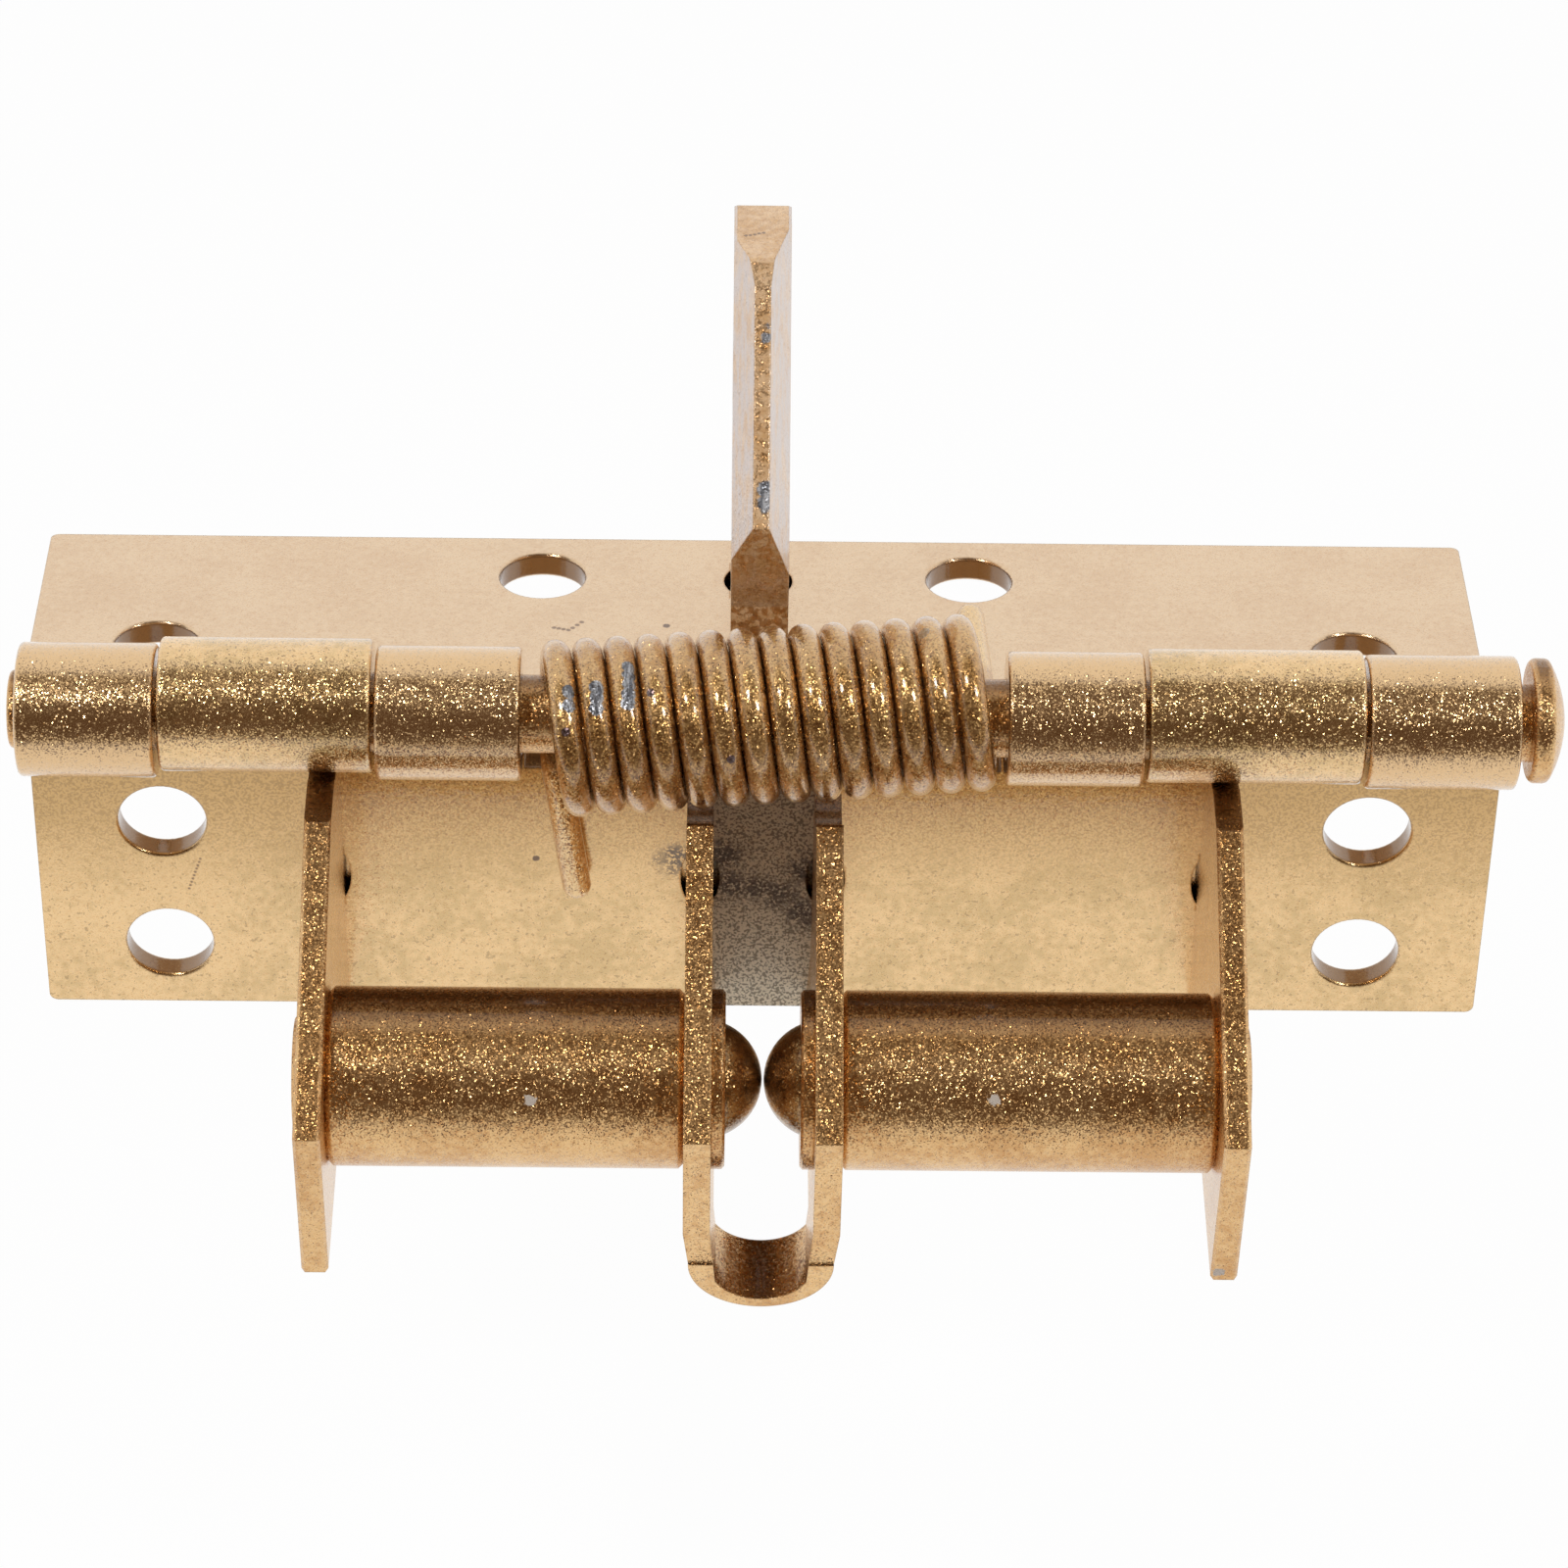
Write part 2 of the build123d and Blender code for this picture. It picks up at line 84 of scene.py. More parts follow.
# %% [markdown]
# One function adds a shader node, with its settings and what feeds it, and gives back one of its outputs.
# Every material below is built with it.
#
# Two settings come up again and again. A Map Range node set to Smooth Step carries a value from one range to
# another with a soft start and end, which gives an edge without a hard line. A Mix node set to colour takes
# its factor at input 0 and its colours at 6 and 7, and gives the result at output 2. For plain numbers its
# inputs are 2 and 3.

# %% Nodes
def feed(tree, node, inputs):
    """Fill a node's sockets: a list in their order, a dict by their names or numbers. Each input is a plain
    value, which is set on the socket, or another node's output, which is linked to it."""
    for socket, value in inputs.items() if isinstance(inputs, dict) else enumerate(inputs):
        if isinstance(value, bpy.types.NodeSocket):
            tree.links.new(value, node.inputs[socket])
        else:
            node.inputs[socket].default_value = value


def add(tree, kind, inputs=(), out=0, **settings):
    """Add a node of a kind with its settings and inputs, and give its output called out."""
    made = tree.nodes.new("ShaderNode" + kind)
    for name, value in settings.items():
        setattr(made, name, value)
    feed(tree, made, inputs)
    return made.outputs[out]


def per_mm(size):
    """The scale that makes a pattern's features size millimetres across."""
    return 1 / (size * MM)


SMOOTH = {"interpolation_type": "SMOOTHSTEP"}
COLOURS = {"data_type": "RGBA"}
print("a pattern of 1 mm has the scale", round(per_mm(1.0)))

# %% [markdown]
# ## Gold metallic paint
#
# Metallic spray paint is clear lacquer with flat bronze flakes in it, each about 0.05 mm across. The lacquer
# on top is smooth, and mirrors lamps and bright walls as sharp white streaks. The flakes below lie at
# slightly different angles, so each one mirrors another part of the room: where the room is white they
# blend into a pale satin gold, and where it is dark a few of them catch a lamp and sparkle. An image of
# grain could be laid over a smooth gold, but it would not sparkle when the hinge turns. So the shader gets
# two normals: a smooth one for the coat, and for the metal below it one that a cell pattern tilts flake by
# flake.

# %% The paint's colour
CLOUD_MM = 5.0
THIN, THICK = 0.35, 0.6
DARK_FLAKES, DARKENING = 0.3, 0.4


def sprayed_colour(tree, where, flakes, mottle, gold, shade):
    """Gold where the paint lies thick and shade where it is thin, in soft clouds with the mottle in them.
    Three flakes in ten are darkened by the shade, the darkest of them by 0.4 of it."""
    cloud = add(tree, "TexNoise", {"Vector": where, "Scale": per_mm(CLOUD_MM), "Detail": 3.0})
    half_cloud = add(tree, "Math", [cloud, 0.5], operation="MULTIPLY")
    thickness = add(tree, "Math", [mottle, 0.5, half_cloud], operation="MULTIPLY_ADD")
    thick = add(tree, "MapRange", [thickness, THIN, THICK], **SMOOTH)
    colour = add(tree, "Mix", {0: thick, 6: linear(shade), 7: linear(gold)}, 2, **COLOURS)
    one_flake = add(tree, "SeparateColor", [flakes], "Red")
    dark_flake = add(tree, "MapRange", [one_flake, DARK_FLAKES, 0.0, 0.0, DARKENING], **SMOOTH)
    shaded = {0: dark_flake, 6: colour, 7: linear(shade)}
    return add(tree, "Mix", shaded, 2, blend_type="MULTIPLY", **COLOURS)


print("the paint's clouds are", CLOUD_MM, "mm across")

# %% [markdown]
# A flake's tilt is the cell's random colour, less its middle value, taken as a direction. If all flakes
# tilted about as far, the paint would look like rough metal. Real flakes lie nearly flat and only a few
# stand up, so the tilt is multiplied by a power of its own size: most stay close to the surface, and those
# few make the sparks.

# %% The flakes' tilt
TILT_POWER = 1.1
LEVEL_SHARE = 0.25


def flake_normal(tree, where, flakes, surface, lean, smooth):
    """The surface's normal plus offset * (4 |offset|^2)^1.1 * lean, where offset is the flake's colour less
    0.5. Where smooth is 1 the tilt is a quarter of that."""
    offset = add(tree, "VectorMath", [flakes, (0.5, 0.5, 0.5)], operation="SUBTRACT")
    squared = add(tree, "VectorMath", [offset, offset], "Value", operation="DOT_PRODUCT")
    size = add(tree, "Math", [squared, 4.0], operation="MULTIPLY")
    steepness = add(tree, "Math", [size, TILT_POWER], operation="POWER")
    steepness = add(tree, "Math", [steepness, lean], operation="MULTIPLY")
    if smooth:
        level = add(tree, "MapRange", [smooth(tree, where), 0.0, 1.0, 1.0, LEVEL_SHARE], **SMOOTH)
        steepness = add(tree, "Math", [steepness, level], operation="MULTIPLY")
    tilt = add(tree, "VectorMath", {0: offset, "Scale": steepness}, operation="SCALE")
    tilted = add(tree, "VectorMath", [tilt, surface], operation="ADD")
    return add(tree, "VectorMath", [tilted], operation="NORMALIZE")


print("few flakes tilt far: half the greatest offset gives", round(0.25 ** TILT_POWER, 2), "of its steepness")

# %% [markdown]
# Where the paint has come off, the sheet's grey steel shows, with fine streaks from rolling and grinding
# along it. They are drawn by squeezing the places in two directions, which stretches a noise in them.

# %% Bare steel in the chips
STREAK_MM, SQUEEZE = 0.2, 0.15
DARK_STEEL, LIGHT_STEEL = "#6E7076", "#B4B6BA"
STEEL_ROUGHNESS = 0.35


def chipped_to_steel(tree, where, chipped, colour, rough):
    """The colour and roughness of the paint, replaced by streaked steel where chipped is 1."""
    stretched = add(tree, "VectorMath", [where, (1.0, SQUEEZE, SQUEEZE)], operation="MULTIPLY")
    grinding = add(tree, "TexNoise", {"Vector": stretched, "Scale": per_mm(STREAK_MM), "Detail": 3.0})
    streak = add(tree, "MapRange", [grinding, 0.4, 0.6], **SMOOTH)
    steel_colour = add(tree, "Mix", {0: streak, 6: linear(DARK_STEEL), 7: linear(LIGHT_STEEL)}, 2, **COLOURS)
    colour = add(tree, "Mix", {0: chipped, 6: colour, 7: steel_colour}, 2, **COLOURS)
    return colour, add(tree, "Mix", {0: chipped, 2: rough, 3: STEEL_ROUGHNESS})


print("streaks are", round(1 / SQUEEZE, 1), "times as long as they are wide")

# %% [markdown]
# The finished paint puts these together. The flakes are drawn at 0.085 mm, two thirds larger than real
# ones, because a finer grain would be lost in the picture. The lacquer is not quite level either: its skin
# has the faint waves that a painter calls orange peel, and a Bevel node rounds every sharp edge by 0.22 mm,
# as a coat of paint does. Most of what shows is metal, and a twentieth of it scatters light as plain paint.

# %% The paint
FLAKE_MM, MOTTLE_MM, PEEL_MM = 0.085, 0.6, 0.7
METAL_SHARE = 0.95
ROUGHNESS_SPREAD = 0.1
DIRT_METAL, DIRT_ROUGHNESS = 0.1, 0.6
COAT_ROUGHNESS, COAT_IOR = 0.1, 1.6
EDGE_ROUNDING = 0.22 * MM
PEEL_HEIGHT = 0.012 * MM


def metallic_paint(name, gold, shade, marks=(), bare=None, dull=None, smooth=None, place=None,
                   roughness=0.24, gloss=1.0, lean=0.36):
    """Sprayed metallic paint. gold is its colour, shade its colour where it lies thin, gloss how much clear
    lacquer it has, and lean how far its flakes tilt. marks lists (mask, colour, strength) for what lies on
    it. bare is the mask of the places where it has chipped off, dull of those that dirt or a scrape has made
    matt, and smooth of those where its flakes lie flat. A mask is a function that gives 0 to 1 over the
    surface. place names the attribute that holds the surface's places, for a piece that deforms."""
    material = bpy.data.materials.new(name)
    material.use_nodes = True
    tree = material.node_tree
    if place:
        where = add(tree, "Attribute", out="Vector", attribute_name=place)
    else:
        where = add(tree, "TexCoord", out="Object")
    flakes = add(tree, "TexVoronoi", {"Vector": where, "Scale": per_mm(FLAKE_MM)}, "Color")
    mottle = add(tree, "TexNoise", {"Vector": where, "Scale": per_mm(MOTTLE_MM), "Detail": 2.0})

    colour = sprayed_colour(tree, where, flakes, mottle, gold, shade)
    for mask, tint, strength in marks:
        inside = add(tree, "Math", [mask(tree, where), strength], operation="MULTIPLY")
        colour = add(tree, "Mix", {0: inside, 6: colour, 7: linear(tint)}, 2, **COLOURS)
    spread = [mottle, ROUGHNESS_SPREAD, roughness - ROUGHNESS_SPREAD / 2]
    rough = add(tree, "Math", spread, operation="MULTIPLY_ADD")
    metal, coat = METAL_SHARE, gloss
    if bare:
        chipped = bare(tree, where)
        colour, rough = chipped_to_steel(tree, where, chipped, colour, rough)
        coat = add(tree, "MapRange", [chipped, 0.0, 1.0, gloss, 0.0], **SMOOTH)
    if dull:
        matt = dull(tree, where)
        rough = add(tree, "Mix", {0: matt, 2: rough, 3: DIRT_ROUGHNESS})
        metal = add(tree, "MapRange", [matt, 0.0, 1.0, METAL_SHARE, DIRT_METAL], **SMOOTH)
        if not bare:
            coat = add(tree, "MapRange", [matt, 0.0, 1.0, gloss, 0.0], **SMOOTH)

    rounded = add(tree, "Bevel", {"Radius": EDGE_ROUNDING}, samples=4)
    waves = add(tree, "TexNoise", {"Vector": where, "Scale": per_mm(PEEL_MM), "Detail": 2.0})
    feed(tree, tree.nodes["Principled BSDF"], {
        "Base Color": colour, "Roughness": rough, "Metallic": metal,
        "Normal": flake_normal(tree, where, flakes, rounded, lean, smooth),
        "Coat Weight": coat, "Coat Roughness": COAT_ROUGHNESS, "Coat IOR": COAT_IOR,
        "Coat Normal": add(tree, "Bump", {"Height": waves, "Distance": PEEL_HEIGHT, "Normal": rounded}),
    })
    return material


print("flakes", FLAKE_MM, "mm, mottle", MOTTLE_MM, "mm and orange peel", PEEL_MM, "mm across")

# %% [markdown]
# ## Where a mark lies
#
# The hinge has been handled. Where the spring's turns were gripped the paint has chipped off to grey steel,
# the door leaf has a dark soaked stain between the two plates, and there are a few scratches and nicks. Each
# is a mask: a list of points with a radius, joined, whose edge is made ragged by noise. Because the points
# are places on the object in millimetres, the marks stay put in every view. They could be painted by hand on
# an image too, but then they would blur from close by.

# %% Masks from points
EDGE_GRAIN = 0.7


def row(first, last, count):
    """Points spaced evenly from the first to the last, in millimetres."""
    return np.linspace(first, last, count)


def patches(radius, points, ragged=0.35, soft=0.05):
    """The mask of the places nearer than radius to any point, in millimetres, with a ragged edge that fades
    out over soft millimetres. The noise that makes it ragged is a little finer than the radius."""
    def mask(tree, where):
        grain = {"Vector": where, "Scale": per_mm(radius * EDGE_GRAIN), "Detail": 4.0, "Roughness": 0.65}
        wobble = add(tree, "TexNoise", grain)
        edge = [wobble, -2 * ragged * radius * MM, (1 + ragged) * radius * MM]
        depth = add(tree, "Math", edge, operation="MULTIPLY_ADD")
        nearest = 1.0
        for point in np.array(points):
            away = add(tree, "VectorMath", [where, tuple(point * MM)], "Value", operation="DISTANCE")
            nearest = add(tree, "Math", [nearest, away], operation="MINIMUM")
        depth = add(tree, "Math", [depth, nearest], operation="SUBTRACT")
        return add(tree, "MapRange", [depth, -soft * MM, soft * MM], **SMOOTH)
    return mask


print("a row of four places along X:", row((0, 0, 0), (3, 0, 0), 4)[:, 0])

# %% [markdown]
# Dirt on paint is no even tone but many grains. So a second kind of mask gives grit, from the highest parts
# of a noise. Multiplying two masks leaves what is inside both, such as the grit within a stain.

# %% Grit, and two masks together
NOISE_TOP, GRIT_EDGE = 0.78, 0.06


def specks(size, share):
    """The mask of fine dark grit, size millimetres across: the highest parts of a noise, and more of it the
    greater the share."""
    def mask(tree, where):
        grain = {"Vector": where, "Scale": per_mm(size), "Detail": 2.0, "Roughness": 0.6}
        grit = add(tree, "TexNoise", grain)
        lowest = NOISE_TOP - share
        return add(tree, "MapRange", [grit, lowest, lowest + GRIT_EDGE], **SMOOTH)
    return mask


def both(first, second):
    """The mask of the places inside two masks."""
    def mask(tree, where):
        return add(tree, "Math", [first(tree, where), second(tree, where)], operation="MULTIPLY")
    return mask


print("grit fades in over", GRIT_EDGE, "of the noise's height")

# %% [markdown]
# Other finishes follow the shape itself. The knuckles are painted a deeper gold than the flat leaf. Beside
# them the door leaf is painted darker, as the shade under the knuckles and the coil, and the spring's legs
# are painted paler, as the light on them. These masks measure how far a place is from the pin.

# %% Masks from the pin
def past(near, far):
    """The mask of the places further from the pin's axis than near to far millimetres."""
    def mask(tree, where):
        from_pin = add(tree, "VectorMath", [where, tuple(PIN * MM)], operation="SUBTRACT")
        from_pin = add(tree, "VectorMath", [from_pin, (0.0, 1.0, 1.0)], operation="MULTIPLY")
        distance = add(tree, "VectorMath", [from_pin], "Value", operation="LENGTH")
        return add(tree, "MapRange", [distance, near * MM, far * MM], **SMOOTH)
    return mask


def outside(first):
    """The mask of the places that a mask leaves."""
    def mask(tree, where):
        return add(tree, "Math", [1.0, first(tree, where)], operation="SUBTRACT")
    return mask


KNUCKLE_EDGE, SHADE_REACH, COIL_EDGE = (5.0, 6.5), (7.0, 21.0), (7.5, 9.0)
flat_leaf = past(*KNUCKLE_EDGE)
knuckles = outside(flat_leaf)
# Painted shade: the leaf near the pin, out to 21 mm, is darkened as the shade under the knuckles and the
# coil.
under_coil_shade = both(flat_leaf, outside(past(*SHADE_REACH)))
# Painted light: the spring's legs past 9 mm from the pin are made paler as the light on them.
legs_painted_light = past(*COIL_EDGE)
print("the leaf is flat past", KNUCKLE_EDGE[1], "mm from the pin, and sheltered up to", SHADE_REACH[1], "mm")

# %% [markdown]
# Paint also settles by the way a face looks. The normal is read in the object's own directions, so that a
# mask stays on its face when the door leaf swings.

# %% Masks from the way a face looks
def cosine_to(tree, direction):
    """The cosine of the angle between a face's normal and a direction."""
    normal = add(tree, "TexCoord", out="Normal")
    return add(tree, "VectorMath", [normal, tuple(direction)], "Value", operation="DOT_PRODUCT")


def facing(direction, low, high):
    """The mask of the faces that look along a direction, from a low to a high cosine of the angle to it."""
    def mask(tree, where):
        return add(tree, "MapRange", [cosine_to(tree, direction), low, high], **SMOOTH)
    return mask


def square_to(direction, high, low):
    """The mask of the faces that look neither along a direction nor against it."""
    def mask(tree, where):
        lean = add(tree, "Math", [cosine_to(tree, direction)], operation="ABSOLUTE")
        return add(tree, "MapRange", [lean, high, low], **SMOOTH)
    return mask


front_edge = square_to(ALONG_PIN, 0.3, 0.15)
print("a face is a front edge up to", round(90 - acos(0.3) * 180 / pi), "degrees of lean to one side")

# %% [markdown]
# ## The frame leaf
#
# The leaf that is screwed to the door frame lies face up, and got the most paint. It is a pale, even gold,
# with its flakes nearly flat. In the screw holes and on the cut edges a brown is painted in as shade. A
# short bent scratch and one nick are its only damage.

# %% The frame leaf's paint
NICK = "#5A3D26"
SCRATCH = "#6B4A2E"
EDGE_SHADE_BROWN = "#744C22"

frame_scratch = np.vstack([
    row((-14.0, 2.7, 1.8), (-13.0, 2.4, 1.8), 4),
    row((-12.7, 2.7, 1.8), (-12.1, 3.5, 1.8), 3),
])
frame_paint = metallic_paint(
    "pale gold metallic paint", "#E2C49E", "#DAB992", smooth=flat_leaf,
    marks=[
        (knuckles, "#E2BA82", 0.8),
        # Painted shade: a brown on the cut edges and in the screw holes.
        (both(flat_leaf, square_to(FRAME_FACE, 0.4, 0.15)), EDGE_SHADE_BROWN, 0.9),
        (patches(0.17, frame_scratch), SCRATCH, 0.8),
        (patches(0.26, [(-6.2, 3.1, 1.8)]), NICK, 0.9),
    ],
)
print("painted the frame leaf with", len(frame_paint.node_tree.nodes), "nodes")

# %% [markdown]
# ## The door leaf
#
# The door leaf stands upright. Its gold is deeper than the frame leaf's, with fine dark grit in it. Near
# the knuckles it is painted darker, in grains, as the shade under the knuckles and the coil. Between the two
# plates of the catch a grey stain has soaked in, with black blotches. It is matt: there the flakes and the
# lacquer are buried in dirt, so the mask takes the metal and the coat away too.

# %% The door leaf's paint
leaf_face = facing(DOOR_FACE, 0.5, 0.8)
stain = both(leaf_face, patches(3.9, row((0.7, -9.4, -2.5), (0.7, -6.2, -25.0), 10), ragged=0.15, soft=0.5))
blotch_places = [
    (-2.0, -8.4, -9.6), (-1.6, -8.0, -12.3), (0.2, -8.0, -12.6), (1.8, -7.9, -13.2), (3.5, -7.7, -14.9),
    (-5.3, -8.4, -10.0), (3.6, -8.2, -11.0),
]
blotches = both(leaf_face, patches(1.3, blotch_places, ragged=0.9, soft=0.8))
coil_shade_on_leaf = both(leaf_face, under_coil_shade)
door_crack = row((-38.1, -8.3, -10.4), (-39.0, -7.95, -13.1), 10)

door_paint = metallic_paint(
    "gold metallic paint", "#F0CA91", "#D6B47B", smooth=flat_leaf, dull=stain,
    marks=[
        (specks(0.3, 0.18), "#8C6F3E", 0.5),
        # Painted shade under the knuckles and the coil, darker still in grains.
        (coil_shade_on_leaf, "#C79E5E", 1.0),
        (both(coil_shade_on_leaf, specks(0.2, 0.29)), "#9A763E", 0.6),
        # Painted shade: a brown on the cut edges and in the screw holes.
        (both(flat_leaf, square_to(DOOR_FACE, 0.4, 0.15)), EDGE_SHADE_BROWN, 0.9),
        (stain, "#E9E0CB", 0.9),
        (both(stain, specks(0.2, 0.29)), "#837863", 0.85),
        (both(blotches, specks(0.25, 0.36)), "#4A3A31", 0.85),
        (patches(0.1, door_crack), SCRATCH, 0.8),
        (patches(0.25, [(-15.0, -8.4, -10.1)]), NICK, 0.9),
    ],
)
print("painted the door leaf with", len(door_paint.node_tree.nodes), "nodes")

# %% [markdown]
# ## The catch
#
# The plates, barrels, collars and the pin have a deeper gold and less lacquer, so their flakes sparkle more
# than they mirror. Faces that look up are painted a darker brown, as shade. The bracket in the middle
# sparkles most of all, and a few scrapes are pale and matt.

# %% The paint of the catch and the bracket
# Painted shade: faces that look up are darkened towards brown.
shade_on_top = [
    (facing(FRAME_FACE, 0.62, 0.9), "#A0723F", 0.65),
    (facing(FRAME_FACE, 0.92, 1.0), "#7A5530", 0.85),
]
scrapes = patches(0.4, [(-14.7, -32.6, -13.4), (15.8, -32.5, -13.1), (31.2, -33.8, -26.1)], ragged=1.1)
catch_paint = metallic_paint(
    "gold metallic paint on the catch", "#E6BD84", "#D0A066", roughness=0.27, gloss=0.35, lean=0.42,
    dull=scrapes, marks=[*shade_on_top, (scrapes, "#CFC8C0", 0.9)],
)
bracket_paint = metallic_paint(
    "gold metallic paint on the bracket", "#ECC48B", "#D6A76D", roughness=0.27, gloss=0.35, lean=0.52,
    marks=shade_on_top,
)
print("painted the catch with", len(catch_paint.node_tree.nodes), "nodes")

# %% [markdown]
# ## The striker blade
#
# The blade was cut from thicker steel, and the two bevels of its nose were ground by hand before it was
# sprayed. On them a pale pinkish grey is painted as the reflection of the white tent at their sides, with
# streaks along the grinding. The narrow land between them, on which the balls ride, has rubbed bright in two
# places.

# %% The blade's paint
BEVEL_STARTS, BEVEL_FULL = 0.2, 0.4
SIDE_STARTS, SIDE_FULL = 0.95, 0.98
GRINDING_MM, GRINDING_SQUEEZE = 0.25, 0.12


# Painted reflection: the bevels get a pale pinkish grey for the white tent at their sides, streaked along the
# grinding.
def bevel_sheen_and_grinding(tree, where):
    """The mask of the faces that lean to one side, but not the blade's own sides, with streaks in it."""
    sideways = add(tree, "Math", [cosine_to(tree, ALONG_PIN)], operation="ABSOLUTE")
    leaning = add(tree, "MapRange", [sideways, BEVEL_STARTS, BEVEL_FULL], **SMOOTH)
    no_side = add(tree, "MapRange", [sideways, SIDE_FULL, SIDE_STARTS], **SMOOTH)
    bevel = add(tree, "Math", [leaning, no_side], operation="MULTIPLY")
    squeeze = (1.0, GRINDING_SQUEEZE, GRINDING_SQUEEZE)
    stretched = add(tree, "VectorMath", [where, squeeze], operation="MULTIPLY")
    grain = {"Vector": stretched, "Scale": per_mm(GRINDING_MM), "Detail": 3.0, "Roughness": 0.6}
    streaks = add(tree, "MapRange", [add(tree, "TexNoise", grain), 0.35, 0.6, 0.35, 1.0], **SMOOTH)
    return add(tree, "Math", [bevel, streaks], operation="MULTIPLY")


blade_scratch = [
    (-1.0, 7.2, 30.0), (-0.7, 7.25, 30.0), (-0.4, 7.35, 30.0), (-0.1, 7.5, 30.0), (0.2, 7.6, 30.0),
]
rubbed = np.vstack([
    row((0.45, 3.0, 28.2), (0.4, 0.6, 25.5), 5),
    row((0.4, -6.0, 17.6), (0.4, -6.6, 16.9), 2),
])
blade_paint = metallic_paint(
    "gold metallic paint over ground steel", "#E6C296", "#D3A66E", roughness=0.34,
    marks=[(bevel_sheen_and_grinding, "#CFC3BF", 0.9), (patches(0.14, blade_scratch), SCRATCH, 0.8)],
    dull=both(front_edge, specks(0.5, 0.3)), bare=both(front_edge, patches(0.9, rubbed)),
)
print("painted the blade with", len(blade_paint.node_tree.nodes), "nodes")

# %% [markdown]
# ## The spring and the balls
#
# The torsion spring's paint is the same, but on a round wire the flakes stand at more angles, so they tilt
# further. Where its first three turns were gripped, the steel shows in grey chips. Its pattern is fixed to
# the wire by an attribute that holds the wire's places at rest. The balls are hard and polished, and the
# paint on them is thin and brown.

# %% The spring's and the balls' paint
gripped = np.vstack([
    row((-12.4, -17.0, 8.6), (-12.4, -17.8, 8.0), 2),
    row((-10.6, -16.8, 8.8), (-10.6, -18.0, 7.9), 3),
    row((-8.5, -15.4, 9.5), (-8.5, -17.8, 8.2), 5),
])
bruises = [(-12.6, -18.9, 6.6), (-1.7, -19.2, 4.8), (-7.1, -17.2, 8.7)]
spring_paint = metallic_paint(
    "gold metallic paint on the spring", "#D8AE72", "#BE9055", roughness=0.28, lean=0.62, place="rest_place",
    marks=[
        # Painted light: the legs are made paler where the light falls on them.
        (legs_painted_light, "#EFCB92", 0.8),
        (patches(0.5, [(11.0, -13.1, 10.9)]), "#8E8272", 0.7),
        (patches(0.3, bruises), "#5C5261", 0.85),
    ],
    bare=patches(0.5, gripped),
)
ball_paint = metallic_paint("gold metallic paint on the balls", "#B08E60", "#7D5C36", gloss=0.5)
print("painted the spring with", len(spring_paint.node_tree.nodes), "nodes")

# %% [markdown]
# The two springs behind the balls never met the spray gun. They are bare drawn wire: steel pulled through a
# die, which leaves it grey and a little uneven in gloss.

# %% Bare spring wire
CATCH_SPRINGS = ["left_ball_spring", "right_ball_spring"]

steel = bpy.data.materials.new("bare drawn spring wire")
steel.use_nodes = True
tree = steel.node_tree
where = add(tree, "Attribute", out="Vector", attribute_name="rest_place")
grain = add(tree, "TexNoise", {"Vector": where, "Scale": per_mm(0.3), "Detail": 3.0})
feed(tree, tree.nodes["Principled BSDF"], {
    "Metallic": 1.0,
    "Base Color": add(tree, "Mix", {0: grain, 6: linear("#6E6F75"), 7: linear("#A5A6AC")}, 2, **COLOURS),
    "Roughness": add(tree, "MapRange", [grain, 0.2, 0.8, 0.28, 0.45], **SMOOTH),
})
print("made the steel of", CATCH_SPRINGS)

# %% [markdown]
# Every piece of the model now gets its finish. What is not in the list, such as the pin, has the catch's.

# %% Paint every piece
finishes = {
    "frame_leaf": frame_paint,
    "door_leaf": door_paint,
    "inner_u_bracket": bracket_paint,
    "striker_blade": blade_paint,
    "left_catch_ball": ball_paint,
    "right_catch_ball": ball_paint,
    **{name: steel for name in CATCH_SPRINGS},
}
for name, piece in nodes.items():
    piece.data.materials.clear()
    piece.data.materials.append(finishes.get(name, catch_paint))
used = {piece.data.materials[0].name for piece in nodes.values()}
print("painted", len(nodes), "pieces with", len(used), "finishes")

# %% [markdown]
# ## The torsion spring
#
# The spring is one length of 2 mm wire: fourteen turns round the pin, and at each end a bend into a straight
# leg that presses on a leaf. Its middle line is worked out first, as one array of points: a screw line about
# an axis that leans 4 degrees, an arc of 2.2 mm radius at each end, and the two legs. Blender could sweep a
# curve object instead; here a mesh is made ring by ring.

# %% The spring's sizes, in millimetres
WIRE_RADIUS = 1.0
COIL_RADIUS = 5.0
PITCH = 2.07
TURNS = 14
COIL_START, COIL_MIDDLE = -13.7, 0.35
COIL_LEAN = tan(radians(4.15))
LEAN_TOWARDS = radians(57.9)
BEND_RADIUS = 2.2
LEAF_UNDER_PIN, GAP_UNDER_LEG = 2.7, 0.08
LEG_HEIGHT = WIRE_RADIUS + GAP_UNDER_LEG - LEAF_UNDER_PIN
DOOR_LEG = {"reach": 16.65, "slant": 0.127}
FRAME_LEG = {"reach": 16.0, "slant": -0.04}


def unit(arrow):
    """An arrow made one long."""
    return arrow / np.linalg.norm(arrow)


rise = np.array([0.0, cos(LEAN_TOWARDS), sin(LEAN_TOWARDS)])
coil_axis = unit(ALONG_PIN + rise * COIL_LEAN)
coil_end = COIL_START + TURNS * PITCH
print("the coil runs from", COIL_START, "to", round(coil_end, 2), "mm along the pin")

# %% [markdown]
# The wire leaves the coil a little before it would be level with its leaf, because the bend then brings it
# down flat on the leaf. That angle settles where the first and the last turn end.

